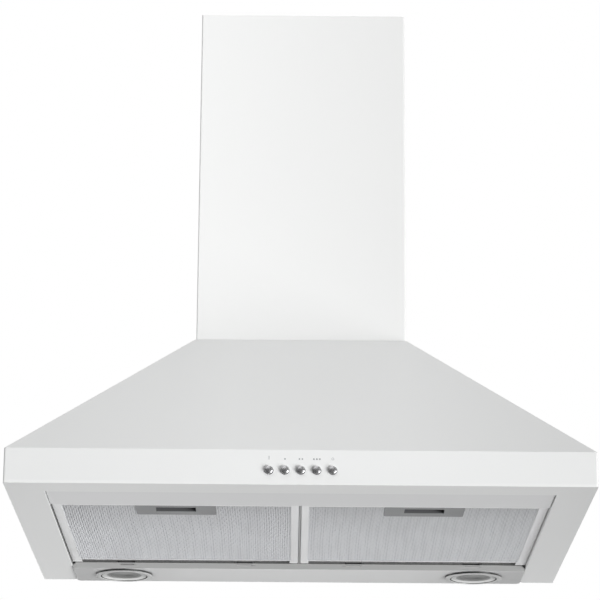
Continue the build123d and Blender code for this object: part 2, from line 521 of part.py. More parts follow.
save(fillet([e for e in cyl_x(-16, 88, 130, 174, 11.0).edges() if e.length > 30], 1.5), "motor_capacitor")
tr = blk(-184, -120, -31.2, -BP_T, 72, 102)
tr = fillet([e for e in tr.edges() if abs(e.tangent_at(0.5).Y) > 0.9], 3.0)
for x0, x1 in ((-194, -183), (-121, -110)):
    tr += blk(x0, x1, -3.2, -BP_T, 80, 94) - cyl_y((x0 + x1) / 2, 87, -5, 0, 1.8)
save(tr, "lamp_transformer")
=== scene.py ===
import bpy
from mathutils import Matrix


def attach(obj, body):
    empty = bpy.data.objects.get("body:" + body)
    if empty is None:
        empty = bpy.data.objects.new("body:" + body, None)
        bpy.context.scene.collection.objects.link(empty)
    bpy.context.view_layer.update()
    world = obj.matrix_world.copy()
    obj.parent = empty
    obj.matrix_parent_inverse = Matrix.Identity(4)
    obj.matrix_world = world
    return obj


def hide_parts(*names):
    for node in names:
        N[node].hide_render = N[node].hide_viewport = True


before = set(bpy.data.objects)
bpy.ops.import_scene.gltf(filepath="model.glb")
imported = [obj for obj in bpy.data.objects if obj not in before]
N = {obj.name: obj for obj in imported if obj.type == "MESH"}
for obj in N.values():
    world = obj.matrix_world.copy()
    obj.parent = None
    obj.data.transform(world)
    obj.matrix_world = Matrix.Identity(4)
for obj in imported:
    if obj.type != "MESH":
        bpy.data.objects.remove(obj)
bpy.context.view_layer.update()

import math
import random

import bpy
import bmesh
from mathutils import Matrix, Vector

MM = 0.001
random.seed(7)

# ------------------------------------------------------------------ camera
# Fitted to the corners of the band, the rim, the canopy top and the chimney.
CAM_POS = Vector((-9.2, -500.0 - 2696.2, -627.9)) * MM
PITCH, YAW, ROLL = math.radians(16.962), math.radians(0.151), math.radians(0.416)
F_PX = 2743.98


def make_camera():
    data = bpy.data.cameras.new("photo_camera")
    cam = bpy.data.objects.new("photo_camera", data)
    bpy.context.scene.collection.objects.link(cam)
    right = Vector((math.cos(YAW), -math.sin(YAW), 0))
    ahead = Vector((math.sin(YAW), math.cos(YAW), 0))
    fwd = ahead * math.cos(PITCH) + Vector((0, 0, 1)) * math.sin(PITCH)
    up = Vector((0, 0, 1)) * math.cos(PITCH) - ahead * math.sin(PITCH)
    r2 = right * math.cos(ROLL) + up * math.sin(ROLL)
    u2 = up * math.cos(ROLL) - right * math.sin(ROLL)
    m = Matrix((r2, u2, -fwd)).transposed().to_4x4()
    m.translation = CAM_POS
    cam.matrix_world = m
    data.sensor_fit = "HORIZONTAL"
    data.sensor_width = 36.0
    data.lens = F_PX * 36.0 / 600.0
    data.clip_start, data.clip_end = 0.05, 100.0
    bpy.context.scene.camera = cam


make_camera()


# ------------------------------------------------------------------ node helpers
class Mat:
    """Small builder round one procedural material."""

    def __init__(self, name, base, rough=0.4, metal=0.0, **sockets):
        self.m = bpy.data.materials.new(name)
        self.m.use_nodes = True
        self.t = self.m.node_tree
        self.n = self.t.nodes
        self.b = self.n["Principled BSDF"]
        self.set("Base Color", (*base, 1.0))
        self.set("Roughness", rough)
        self.set("Metallic", metal)
        for k, v in sockets.items():
            self.set(k.replace("_", " "), v)
        self.co = self.n.new("ShaderNodeTexCoord").outputs["Object"]

    def set(self, socket, value):
        self.b.inputs[socket].default_value = value

    def link(self, a, b):
        self.t.links.new(a, b)

    def mapping(self, scale, rot=(0, 0, 0), loc=(0, 0, 0), src=None):
        m = self.n.new("ShaderNodeMapping")
        m.inputs["Scale"].default_value = scale
        m.inputs["Rotation"].default_value = rot
        m.inputs["Location"].default_value = loc
        self.link(src or self.co, m.inputs["Vector"])
        return m.outputs[0]

    def noise(self, scale, detail=4.0, rough=0.55, stretch=None, dist=0.0, src=None, loc=(0, 0, 0)):
        t = self.n.new("ShaderNodeTexNoise")
        t.inputs["Scale"].default_value = scale
        t.inputs["Detail"].default_value = detail
        t.inputs["Roughness"].default_value = rough
        t.inputs["Distortion"].default_value = dist
        self.link(self.mapping(stretch or (1, 1, 1), loc=loc, src=src), t.inputs["Vector"])
        return t.outputs["Fac"]

    def voronoi(self, scale, feature="F1", out="Distance", stretch=(1, 1, 1), rand=1.0):
        t = self.n.new("ShaderNodeTexVoronoi")
        t.feature = feature
        t.inputs["Scale"].default_value = scale
        t.inputs["Randomness"].default_value = rand
        self.link(self.mapping(stretch), t.inputs["Vector"])
        return t.outputs[out]

    def ramp(self, fac, stops, interp="LINEAR"):
        r = self.n.new("ShaderNodeValToRGB")
        r.color_ramp.interpolation = interp
        el = r.color_ramp.elements
        while len(el) < len(stops):
            el.new(0.5)
        for e, (p, c) in zip(el, stops):
            e.position = p
            e.color = (*c, 1.0) if hasattr(c, "__len__") else (c, c, c, 1.0)
        self.link(fac, r.inputs[0])
        return r.outputs[0]

    def range(self, fac, lo, hi, a=0.0, b=1.0):
        r = self.n.new("ShaderNodeMapRange")
        r.inputs["From Min"].default_value = a
        r.inputs["From Max"].default_value = b
        r.inputs["To Min"].default_value = lo
        r.inputs["To Max"].default_value = hi
        self.link(fac, r.inputs["Value"])
        return r.outputs[0]

    def math(self, op, a, b=None, clamp=False):
        m = self.n.new("ShaderNodeMath")
        m.operation = op
        m.use_clamp = clamp
        for i, v in enumerate((a, b)):
            if v is None:
                continue
            if hasattr(v, "links") or hasattr(v, "node"):
                self.link(v, m.inputs[i])
            else:
                m.inputs[i].default_value = v
        return m.outputs[0]

    def mix(self, fac, a, b, mode="MIX"):
        m = self.n.new("ShaderNodeMix")
        m.data_type = "RGBA"
        m.blend_type = mode
        if hasattr(fac, "node"):
            self.link(fac, m.inputs[0])
        else:
            m.inputs[0].default_value = fac
        for i, v in ((6, a), (7, b)):
            if hasattr(v, "node"):
                self.link(v, m.inputs[i])
            else:
                m.inputs[i].default_value = (*v, 1.0)
        return m.outputs[2]

    def inside(self, x=None, y=None, z=None, soft=0.00012):
        """1 inside the given object-space ranges (metres), 0 outside, with a narrow soft edge."""
        sep = self.n.new("ShaderNodeSeparateXYZ")
        self.link(self.co, sep.inputs[0])
        total = None
        for i, r in enumerate((x, y, z)):
            if r is None:
                continue
            lo = self.range(sep.outputs[i], 0.0, 1.0, r[0] - soft, r[0] + soft)
            hi = self.range(sep.outputs[i], 1.0, 0.0, r[1] - soft, r[1] + soft)
            both = self.math("MULTIPLY", lo, hi, clamp=True)
            total = both if total is None else self.math("MULTIPLY", total, both, clamp=True)
        return total

    def radial(self, cx, cy, axis="z"):
        """Distance in millimetres from an upright axis (or one along y) through the given object-space point in metres."""
        off = self.n.new("ShaderNodeVectorMath")
        off.operation = "SUBTRACT"
        self.link(self.co, off.inputs[0])
        off.inputs[1].default_value = (cx, cy, 0) if axis == "z" else (cx, 0, cy)
        flat = self.n.new("ShaderNodeVectorMath")
        flat.operation = "MULTIPLY"
        self.link(off.outputs[0], flat.inputs[0])
        flat.inputs[1].default_value = (1000, 1000, 0) if axis == "z" else (1000, 0, 1000)
        length = self.n.new("ShaderNodeVectorMath")
        length.operation = "LENGTH"
        self.link(flat.outputs[0], length.inputs[0])
        return length.outputs["Value"]

    def color(self, out):
        self.link(out, self.b.inputs["Base Color"])

    def base(self):
        """Whatever drives the base colour now, as a socket or a plain colour."""
        i = self.b.inputs["Base Color"]
        return i.links[0].from_socket if i.links else tuple(i.default_value)[:3]

    def rough(self, out):
        self.link(out, self.b.inputs["Roughness"])

    def bump(self, height, strength=0.2, distance=0.0005, chain=None):
        b = self.n.new("ShaderNodeBump")
        b.inputs["Strength"].default_value = strength
        b.inputs["Distance"].default_value = distance
        self.link(height, b.inputs["Height"])
        if chain is not None:
            self.link(chain, b.inputs["Normal"])
        self.link(b.outputs[0], self.b.inputs["Normal"])
        return b.outputs[0]


def enamel(name, base, rough=0.32, gloss=0.5, tint=0.015, peel=0.08, metal=0.0, wrap=False):
    """Baked enamel on folded sheet: faint orange peel, slow tone drift, tiny specks of dust in the coat."""
    m = Mat(name, base, rough, metal, IOR=1.5)
    m.set("Specular IOR Level", gloss)
    slow = m.noise(3.2, 2.0)
    fine = m.noise(420.0, 2.0)
    dark = tuple(c * (1 - tint) for c in base)
    col = m.ramp(slow, [(0.1, dark), (0.9, base)])
    speck = m.ramp(m.voronoi(900.0, rand=1.0), [(0.0, 0.93), (0.045, 1.0)])
    m.color(m.mix(0.35, col, speck, "MULTIPLY"))
    m.rough(m.range(m.noise(60.0, 3.0), rough - 0.02, rough + 0.03))
    peel_h = m.noise(260.0, 1.0, 0.4)
    c = m.bump(peel_h, peel, 0.0003)
    m.bump(fine, 0.04, 0.00005, chain=c)
    return m if wrap else m.m


def galvanised(name, base=(0.60, 0.61, 0.63), rough=0.42, scale=110.0):
    """Zinc-coated sheet: spangle cells of differing tone and direction, light rolling lines."""
    m = Mat(name, base, rough, 0.85)
    cell = m.voronoi(scale, out="Color")
    bw = m.n.new("ShaderNodeRGBToBW")
    m.link(cell, bw.inputs[0])
    lo = tuple(c * 0.93 for c in base)
    hi = tuple(min(1, c * 1.06) for c in base)
    m.color(m.ramp(bw.outputs[0], [(0.2, lo), (0.8, hi)]))
    m.rough(m.range(bw.outputs[0], rough - 0.05, rough + 0.06, 0.2, 0.8))
    lines = m.noise(900.0, 2.0, stretch=(1, 1, 0.02))
    c = m.bump(lines, 0.05, 0.0001)
    m.bump(m.voronoi(scale), 0.05, 0.0003, chain=c)
    return m.m


def plastic(name, base, rough=0.5, grain=1500.0, strength=0.18, wrap=False):
    """Moulded plastic with a fine spark-eroded texture and faint flow marks."""
    m = Mat(name, base, rough)
    m.set("Specular IOR Level", 0.42)
    flow = m.noise(22.0, 3.0, stretch=(1, 0.35, 1))
    m.color(m.ramp(flow, [(0.3, tuple(c * 0.9 for c in base)), (0.7, tuple(min(1, c * 1.1) for c in base))]))
    m.rough(m.range(m.noise(70.0, 2.0), rough - 0.05, rough + 0.07))
    c = m.bump(m.noise(grain, 2.0), strength, 0.00012)
    m.bump(flow, 0.03, 0.0004, chain=c)
    return m if wrap else m.m


def brushed(name, base, rough=0.3, along="y", scale=1.0, depth=0.10, metal=1.0, wrap=False):
    """Drawn or extruded metal: long hairlines along one axis, a few deeper scratches, slow tone drift."""
    st = {"x": (0.012, 1, 1), "y": (1, 0.012, 1), "z": (1, 1, 0.012)}[along]
    m = Mat(name, base, rough, metal)
    hair = m.noise(1400.0 * scale, 3.0, 0.7, stretch=st)
    wide = m.noise(160.0 * scale, 2.0, stretch=st)
    lo, hi = tuple(c * 0.90 for c in base), tuple(min(1.0, c * 1.05) for c in base)
    m.color(m.ramp(m.mix(0.4, hair_color(m, hair), hair_color(m, wide)), [(0.3, lo), (0.7, hi)]))
    m.rough(m.range(hair, rough - 0.07, rough + 0.10, 0.3, 0.7))
    c = m.bump(hair, depth, 0.00006)
    m.bump(m.noise(40.0, 2.0), 0.04, 0.0004, chain=c)
    return m if wrap else m.m


def hair_color(m, fac):
    c = m.n.new("ShaderNodeCombineXYZ")
    for i in range(3):
        m.link(fac, c.inputs[i])
    return c.outputs[0]


def chrome(name, base=(0.80, 0.80, 0.81), rough=0.08):
    m = Mat(name, base, rough, 1.0)
    smear = m.noise(60.0, 4.0)
    m.color(m.ramp(smear, [(0.3, tuple(c * 0.95 for c in base)), (0.7, base)]))
    m.rough(m.range(smear, max(0.02, rough - 0.03), rough + 0.07))
    m.bump(m.noise(240.0, 2.0), 0.02, 0.0001)
    return m.m


LAMP_X, LAMP_Y = 0.2036, -0.0405
M = {}
canopy = enamel("enamel_canopy", (0.86, 0.868, 0.865), 0.34, 0.45, wrap=True)
# painted shade: the enamel colour is darkened towards the side ends, a little on the band and more on the pyramid
# slope
spread = canopy.n.new("ShaderNodeSeparateXYZ")
canopy.link(canopy.co, spread.inputs[0])
painted_side_shade = canopy.range(canopy.math("ABSOLUTE", canopy.math("SUBTRACT", spread.outputs[0], 0.02)), 0.0, 1.0, 0.09, 0.28)
for lo, hi, least in ((0.003, 0.300, 0.955), (0.0368, 0.300, 0.93)):
    there = canopy.inside(z=(lo, hi), soft=0.0006)
    canopy.color(canopy.mix(canopy.math("MULTIPLY", there, painted_side_shade, clamp=True), canopy.base(),
                            canopy.mix(1.0, canopy.base(), (least, least, least), "MULTIPLY")))
M["canopy"] = canopy.m
chimney = enamel("enamel_chimney", (0.89, 0.895, 0.89), 0.32, 0.5, wrap=True)
across = chimney.n.new("ShaderNodeSeparateXYZ")
chimney.link(chimney.co, across.inputs[0])
# painted shade: the chimney's colour darkens from its left side to its right side
drift = chimney.ramp(chimney.range(across.outputs[0], 0.0, 1.0, -0.12, 0.12), [(0.0, 0.985), (0.5, 0.945), (1.0, 0.912)])
chimney.color(chimney.mix(1.0, chimney.base(), drift, "MULTIPLY"))
M["chimney"] = chimney.m
M["inner"] = enamel("enamel_inner", (0.70, 0.71, 0.71), 0.45, 0.35, tint=0.06)
M["cover"] = enamel("enamel_cover", (0.79, 0.795, 0.80), 0.36, 0.45)
panel = enamel("enamel_panel", (0.93, 0.935, 0.935), 0.34, 0.5, metal=0.42, wrap=True)
along = panel.n.new("ShaderNodeSeparateXYZ")
panel.link(panel.co, along.inputs[0])
# painted shade: the panel's colour darkens towards both ends
painted_end_shade = panel.ramp(panel.range(panel.math("ABSOLUTE", along.outputs[0]), 0.0, 1.0, 0.0, 0.26), [(0.0, 1.0), (0.5, 0.96), (0.95, 0.71)])
panel.color(panel.mix(1.0, panel.base(), painted_end_shade, "MULTIPLY"))
# painted shade: the front bevel of the panel is painted a darker grey and made less metallic
painted_bevel_shade = panel.inside(y=(-0.0846, -0.0768), z=(-0.0020, 0.0034))
panel.color(panel.mix(painted_bevel_shade, panel.base(), (0.51, 0.514, 0.51)))
# painted shadows: dark dashes on the bevel beside the four tab slots
for tx, ty in ((-0.1963, -0.0812), (-0.0593, -0.0815), (0.0594, -0.0818), (0.2011, -0.0822)):
    panel.color(panel.mix(panel.inside(x=(tx - 0.0092, tx + 0.0092), y=(ty - 0.0003, ty + 0.0003), z=(-0.0020, 0.0034)), panel.base(), (0.28, 0.282, 0.28)))
panel.link(panel.range(painted_bevel_shade, 0.5, 0.1), panel.b.inputs["Metallic"])
# painted shade: a dark streaky strip on the upright face of the fold behind the filters
painted_fold_shade = panel.ramp(panel.noise(900.0, 3.0), [(0.3, (0.17, 0.172, 0.17)), (0.7, (0.26, 0.262, 0.26))])
panel.color(panel.mix(panel.inside(y=(-0.0845, -0.0838), z=(0.0034, 0.0160)), panel.base(), painted_fold_shade))
M["panel"] = panel.m
M["zinc"] = galvanised("zinc_sheet")
M["zinc_fine"] = galvanised("zinc_fittings", (0.60, 0.60, 0.61), 0.36, 160.0)
M["black"] = plastic("black_moulding", (0.030, 0.031, 0.034), 0.5)
M["dark"] = plastic("latch_dark_moulding", (0.075, 0.078, 0.082), 0.46)
M["grey"] = plastic("latch_grey_moulding", (0.26, 0.265, 0.27), 0.5)
M["steel"] = brushed("ground_steel", (0.62, 0.62, 0.63), 0.22, "x")
M["chrome"] = chrome("chrome_trim")
btn = Mat("chrome_button", (0.50, 0.50, 0.51), 0.26, 0.78)
turned = btn.noise(900.0, 2.0)
btn.color(btn.ramp(btn.noise(500.0, 2.0), [(0.3, (0.47, 0.47, 0.48)), (0.7, (0.53, 0.53, 0.54))]))
btn.rough(btn.range(turned, 0.21, 0.31, 0.3, 0.7))
btn.bump(turned, 0.03, 0.00005)
M["chrome_btn"] = btn.m
M["motor"] = plastic("motor_casting_paint", (0.055, 0.058, 0.062), 0.4, 500.0, 0.25)
M["brass"] = brushed("brass_tabs", (0.75, 0.56, 0.26), 0.28, "y")
M["cream"] = plastic("cream_moulding", (0.72, 0.72, 0.69), 0.38)
M["flap"] = plastic("flap_moulding", (0.05, 0.05, 0.055), 0.55, 900.0)


def paint(node, mat):
    o = N[node]
    o.data.materials.clear()
    o.data.materials.append(mat)


for n in ("canopy",):
    paint(n, M["canopy"])
paint("back_plate", M["inner"])
paint("front_cover", M["cover"])
paint("lamp_panel", M["panel"])
for n in ("chimney_lower", "chimney_upper"):
    paint(n, M["chimney"])
for n in ("blower_housing", "blower_side_left", "blower_side_right", "blower_mounts", "motor_bracket", "wall_bracket_lower", "wall_bracket_upper"):
    paint(n, M["zinc"])
for n in ("cover_nuts", "lamp_panel_screws", "chimney_screws", "blower_screws", "junction_box_screws", "flap_pin",
          "inlet_grille_left", "inlet_grille_right"):
    paint(n, M["zinc_fine"])
for n in ("motor_shaft", "switch_springs", "latch_spring_left", "latch_spring_right"):
    paint(n, M["steel"])
for n in ("switch_housing", "impeller", "outlet_collar", "junction_box", "junction_box_lid", "cable_gland"):
    paint(n, M["black"])
for n in ("flap_left", "flap_right"):
    paint(n, M["flap"])
paint("filter_divider", brushed("divider_aluminium", (0.50, 0.505, 0.51), 0.42, "y", metal=0.6))
foam = plastic("seal_foam", (0.17, 0.172, 0.17), 0.85, 700.0, 0.6)
paint("seal_strip", foam)
paint("switch_terminals", M["brass"])
paint("motor_body", M["motor"])
for n in ("motor_capacitor", "lamp_transformer"):
    paint(n, M["cream"])
for s in ("left", "right"):
    lx = (-1 if s == "left" else 1) * LAMP_X
    trim = Mat("lamp_trim_" + s, (0.60, 0.605, 0.60), 0.38, 0.35)
    satin = trim.ramp(trim.noise(90.0, 3.0), [(0.3, (0.64, 0.645, 0.64)), (0.7, (0.72, 0.725, 0.72))])
    r = trim.radial(lx, LAMP_Y)
    sep = trim.n.new("ShaderNodeSeparateXYZ")
    trim.link(trim.co, sep.inputs[0])
    # painted shade on the trim's outer wall, and the dark joint between rim and bowl
    painted_wall_shade = trim.math("MULTIPLY", trim.range(r, 0.0, 1.0, 31.6, 31.9), trim.range(sep.outputs[2], 0.0, 1.0, -0.00352, -0.00342), clamp=True)
    joint = trim.math("MULTIPLY", trim.math("MULTIPLY", trim.range(r, 0.0, 1.0, 25.6, 26.0), trim.range(r, 1.0, 0.0, 27.25, 27.5), clamp=True),
                      trim.range(sep.outputs[2], 0.0, 1.0, -0.00425, -0.00395), clamp=True)
    # painted shade: the trim darkens towards its front side
    satin = trim.mix(1.0, satin, trim.ramp(trim.range(sep.outputs[1], 0.0, 1.0, LAMP_Y - 0.028, LAMP_Y + 0.004), [(0.0, 0.66), (1.0, 1.0)]), "MULTIPLY")
    lens_side = trim.range(r, 1.0, 0.0, 19.0, 21.0)
    satin = trim.mix(trim.math("MULTIPLY", lens_side, 1.0, clamp=True), satin, (0.235, 0.238, 0.235))
    trim.color(trim.mix(trim.math("MAXIMUM", painted_wall_shade, joint), satin, (0.035, 0.036, 0.035)))
    trim.rough(trim.range(trim.noise(400.0, 2.0), 0.32, 0.44))
    trim.bump(trim.noise(900.0, 2.0), 0.06, 0.0001)
    paint("lamp_trim_" + s, trim.m)
    paint("lamp_holder_" + s, M["zinc_fine"])
    sg = -1 if s == "left" else 1
    cx = sg * 0.1308
    rail = brushed("extrusion_" + s, (0.90, 0.905, 0.91), 0.36, "y", depth=0.05, metal=0.35, wrap=True)
    # painted shade: the rear rail's drip channel is painted dark grey with streaky noise
    painted_channel_shade = rail.ramp(rail.noise(260.0, 3.0, stretch=(1, 0.3, 1)), [(0.35, (0.15, 0.152, 0.15)), (0.62, (0.27, 0.272, 0.27))])
    xs = sorted((cx + sg * 0.1193, cx - sg * 0.1213))
    rail.color(rail.mix(rail.inside(x=xs, y=(-0.1021, -0.0876), z=(0.0034, 0.0115)), rail.base(), painted_channel_shade))
    # painted shade: the rear tabs behind the filter are painted dark grey
    rail.color(rail.mix(rail.inside(y=(-0.0872, -0.0700), z=(0.0034, 0.0130)), rail.base(), (0.30, 0.302, 0.30)))
    paint("filter_frame_" + s, rail.m)
    grey = plastic("latch_grey_" + s, (0.25, 0.255, 0.26), 0.5, wrap=True)
    grey.color(grey.mix(grey.inside(x=(cx - 0.0212, cx + 0.0212), y=(-0.3766, -0.3568), z=(0.0036, 0.0120)), grey.base(),
                        (0.10, 0.102, 0.105)))
    paint("latch_plate_" + s, grey.m)
    paint("latch_slide_" + s, M["dark"])
clear = Mat("bulb_glass", (0.9, 0.9, 0.9), 0.05, 0.0, IOR=1.45)
clear.set("Transmission Weight", 0.9)
clear.bump(clear.noise(500.0), 0.02, 0.0001)
for s in ("left", "right"):
    glass = Mat("pressed_glass_" + s, (0.19, 0.195, 0.19), 0.3, 0.0, IOR=1.5)
    glass.set("Transmission Weight", 0.1)
    lx = (-1 if s == "left" else 1) * LAMP_X
    bowl = glass.ramp(glass.range(glass.radial(lx, LAMP_Y), 0.0, 1.0, 0.0, 15.4), [(0.0, (0.20, 0.203, 0.20)), (0.72, (0.20, 0.203, 0.20)), (0.95, (0.23, 0.233, 0.23))])
    # the capsule bulb shows as a darker patch behind the pressed glass
    bulb = glass.ramp(glass.range(glass.radial(lx + 0.0052, LAMP_Y - 0.001), 0.0, 1.0, 0.0, 9.0), [(0.1, (0.42, 0.42, 0.42)), (1.0, (1.0, 1.0, 1.0))])
    glass.color(glass.mix(1.0, bowl, bulb, "MULTIPLY"))
    glass.rough(glass.range(glass.noise(300.0, 2.0), 0.24, 0.4))
    glass.bump(glass.voronoi(700.0), 0.15, 0.0003)
    paint("lamp_glass_" + s, glass.m)
    paint("lamp_bulb_" + s, clear.m)


# ------------------------------------------------------------------ mesh helpers
def new_mesh(name, verts, faces, mat, smooth=False):
    me = bpy.data.meshes.new(name)
    me.from_pydata([tuple(v) for v in verts], [], faces)
    me.validate()
    me.materials.append(mat)
    if smooth:
        me.polygons.foreach_set("use_smooth", [True] * len(me.polygons))
    me.update()
    o = bpy.data.objects.new(name, me)
    bpy.context.scene.collection.objects.link(o)
    return o


def lathe(name, profile, centre, axis, mat, seg=96, smooth=True):
    """Closed solid of revolution. profile is (radius, height) in mm; height runs along axis ('z' or 'y')."""
    verts, faces, rows = [], [], []
    for r, h in profile:
        if r < 1e-6:
            rows.append([len(verts)])
            verts.append((0.0, 0.0, h))
        else:
            rows.append(list(range(len(verts), len(verts) + seg)))
            for k in range(seg):
                a = 2 * math.pi * k / seg
                verts.append((r * math.cos(a), r * math.sin(a), h))
    closed = profile[0][0] > 1e-6 and profile[-1][0] > 1e-6
    pairs = list(zip(rows[:-1], rows[1:])) + ([(rows[-1], rows[0])] if closed else [])
    for a, b in pairs:
        for k in range(seg):
            k2 = (k + 1) % seg
            if len(a) == 1 and len(b) == 1:
                continue
            if len(a) == 1:
                faces.append((a[0], b[k2], b[k]))
            elif len(b) == 1:
                faces.append((a[k], a[k2], b[0]))
            else:
                faces.append((a[k], a[k2], b[k2], b[k]))
    out = []
    for x, y, h in verts:
        if axis == "z":
            p = Vector((x, y, h))
        else:
            p = Vector((x, h, -y))
        out.append((p + Vector(centre)) * MM)
    o = new_mesh(name, out, faces, mat, smooth)
    bm = bmesh.new()
    bm.from_mesh(o.data)
    bmesh.ops.recalc_face_normals(bm, faces=bm.faces)
    bm.to_mesh(o.data)
    bm.free()
    return o


def sharpen(o, angle=35.0):
    """Smooth shading that keeps creases over an angle."""
    bm = bmesh.new()
    bm.from_mesh(o.data)
    for e in bm.edges:
        if len(e.link_faces) == 2 and e.calc_face_angle(0) > math.radians(angle):
            e.smooth = False
    bm.to_mesh(o.data)
    bm.free()
    return o


# ------------------------------------------------------------------ push caps
# Turned satin caps on the CAD button's stem: a slightly crowned face with a rolled-over edge.
BTN_PITCH, BTN_Z, BTN_OUT, BTN_R = 16.1, 15.0, 3.8, 4.2
cap_profile = [(3.7 * k / 20, -BTN_OUT + 0.0546 * (3.7 * k / 20) ** 2) for k in range(21)]
for k in range(1, 13):
    a = math.radians(22 + 68 * k / 12)
    cap_profile.append((BTN_R - 0.8 * (1 - math.sin(a)), -BTN_OUT + 0.7475 + 0.8 * (math.cos(math.radians(22)) - math.cos(a))))
cap_profile += [(BTN_R, 11.8), (BTN_R - 0.2, 12.0), (2.0, 12.0), (2.0, 26.8), (1.8, 27.0), (0.0, 27.0)]
for i in range(5):
    cap = lathe("push_cap_%d" % (i + 1), cap_profile, ((i - 2) * BTN_PITCH, -500.0, BTN_Z), "y", M["chrome_btn"], seg=72)
    sharpen(cap, 40.0)
    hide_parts("button_%d" % (i + 1))
    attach(cap, "button_%d" % (i + 1))

# ------------------------------------------------------------------ filter mesh
FIL_W, FIL_GAP = 259.0, 1.3
FIL_FRONT, FIL_REAR = -394.5, -88.0
FIL_Z = 3.2
STRAND_PITCH = 2.5


def strands(name, x0, x1, y0, y1, z, pitch, period, amp, w, t, hole, mat, step=8, seed=0):
    """One layer of expanded metal: wavy strands side by side, alternately in and out of phase, as closed ribbons.
    hole is (x0, x1, y_rear): the strands stop at the latch plate."""
    rnd = random.Random(seed)
    verts, faces = [], []
    n = int((x1 - x0) / pitch)
    off = ((x1 - x0) - n * pitch) / 2
    for i in range(n):
        xc = x0 + off + (i + 0.5) * pitch
        ya = y0
        if hole and hole[0] - 0.4 * pitch < xc < hole[1] + 0.4 * pitch:
            ya = hole[2]
        drift = rnd.uniform(0, 6.28)
        sgn = 1 if i % 2 else -1
        cnt = max(2, int((y1 - ya) / period * step))
        first = len(verts)
        for k in range(cnt + 1):
            y = ya + (y1 - ya) * k / cnt
            wave = sgn * amp * math.cos(2 * math.pi * (y - y0) / period)
            slow = 0.32 * pitch * math.sin((y - y0) / 47.0 + drift * 0.10 + xc / 60.0)
            x = xc + wave + slow * 0.6
            x = min(max(x, x0 + w), x1 - w)
            tilt = 0.25 * math.sin(2 * math.pi * (y - y0) / period) * sgn
            dz = t * 0.8 * math.sin(2 * math.pi * (y - y0) / period * 0.5 + i)
            for sx, sz in ((-1, -1), (1, -1), (1, 1), (-1, 1)):
                verts.append(((x + sx * w / 2) * MM, y * MM, (z + dz * 0.4 + sz * t / 2 + sx * tilt * t) * MM))
        for k in range(cnt):
            a = first + 4 * k
            b = a + 4
            for j in range(4):
                j2 = (j + 1) % 4
                faces.append((a + j, a + j2, b + j2, b + j))
        a = first
        faces.append((a + 3, a + 2, a + 1, a))
        a = first + 4 * cnt
        faces.append((a, a + 1, a + 2, a + 3))
    return new_mesh(name, verts, faces, mat)


def painted_front_shade(m):
    """Painted shade: darkens the mesh colour towards its front end."""
    sep = m.n.new("ShaderNodeSeparateXYZ")
    m.link(m.co, sep.inputs[0])
    m.color(m.mix(1.0, m.base(), m.ramp(m.range(sep.outputs[1], 0.0, 1.0, -0.388, -0.23), [(0.0, 0.80), (0.4, 0.92), (1.0, 1.0)]), "MULTIPLY"))


def strand_material(name, base, rough):
    m = Mat(name, base, rough, 0.4)
    tone = m.noise(38.0, 3.0, stretch=(1.0, 0.25, 1.0))
    grain = m.noise(900.0, 2.0)
    m.color(m.ramp(tone, [(0.2, tuple(c * 0.93 for c in base)), (0.8, tuple(min(1, c * 1.04) for c in base))]))
    painted_front_shade(m)
    m.rough(m.range(grain, rough - 0.08, rough + 0.12, 0.3, 0.7))
    m.bump(grain, 0.15, 0.0001)
    return m.m


M["strand"] = strand_material("expanded_aluminium", (0.84, 0.85, 0.87), 0.45)
M["strand2"] = strand_material("expanded_aluminium_back", (0.86, 0.87, 0.89), 0.5)

for s, side in ((-1, "left"), (1, "right")):
    cx = s * (FIL_GAP + FIL_W / 2)
    xo, xi = s * (FIL_GAP + FIL_W), s * FIL_GAP
    a, b = xo - s * 10.0, xi + s * 8.0
    lo, hi = min(a, b) - 1.2, max(a, b) + 1.2
    y0, y1 = FIL_FRONT + 9.0 - 1.2, FIL_REAR - 15.5 + 0.4
    hole = (cx - 42.1, cx + 42.1, -342.2)
    front = strands("filter_strands_" + side, lo, hi, y0, y1, FIL_Z + 0.62, STRAND_PITCH, 21.0, 0.22, 1.48, 0.32,
                    hole, M["strand"], seed=11 + s)
    fine = strands("filter_fine_layer_" + side, lo, hi, y0, y1, FIL_Z + 1.02, 2.5, 21.0, 0.22, 1.30, 0.30,
                   hole, M["strand2"], step=5, seed=3 + s)
    for o in (front, fine):
        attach(o, "filter_" + side)
    back = Mat("mesh_backing_" + side, (0.50, 0.51, 0.53), 0.55, 0.4)
    wave = back.n.new("ShaderNodeTexWave")
    wave.inputs["Scale"].default_value = 95.0
    wave.inputs["Distortion"].default_value = 3.0
    wave.inputs["Detail"].default_value = 2.0
    back.link(back.mapping((1, 0.12, 1)), wave.inputs["Vector"])
    back.color(back.ramp(wave.outputs["Fac"], [(0.2, (0.74, 0.75, 0.77)), (0.8, (0.88, 0.89, 0.91))]))
    painted_front_shade(back)
    back.bump(wave.outputs["Fac"], 0.2, 0.0004)
    paint("filter_mesh_" + side, back.m)

# ------------------------------------------------------------------ printed marks above the buttons
ink = Mat("printed_marks", (0.36, 0.37, 0.38), 0.5)
ink.color(ink.ramp(ink.noise(1800.0, 2.0), [(0.3, (0.32, 0.33, 0.34)), (0.7, (0.40, 0.41, 0.42))]))
ink.bump(ink.noise(2500.0), 0.05, 0.00005)
MARK_Z = 26.6


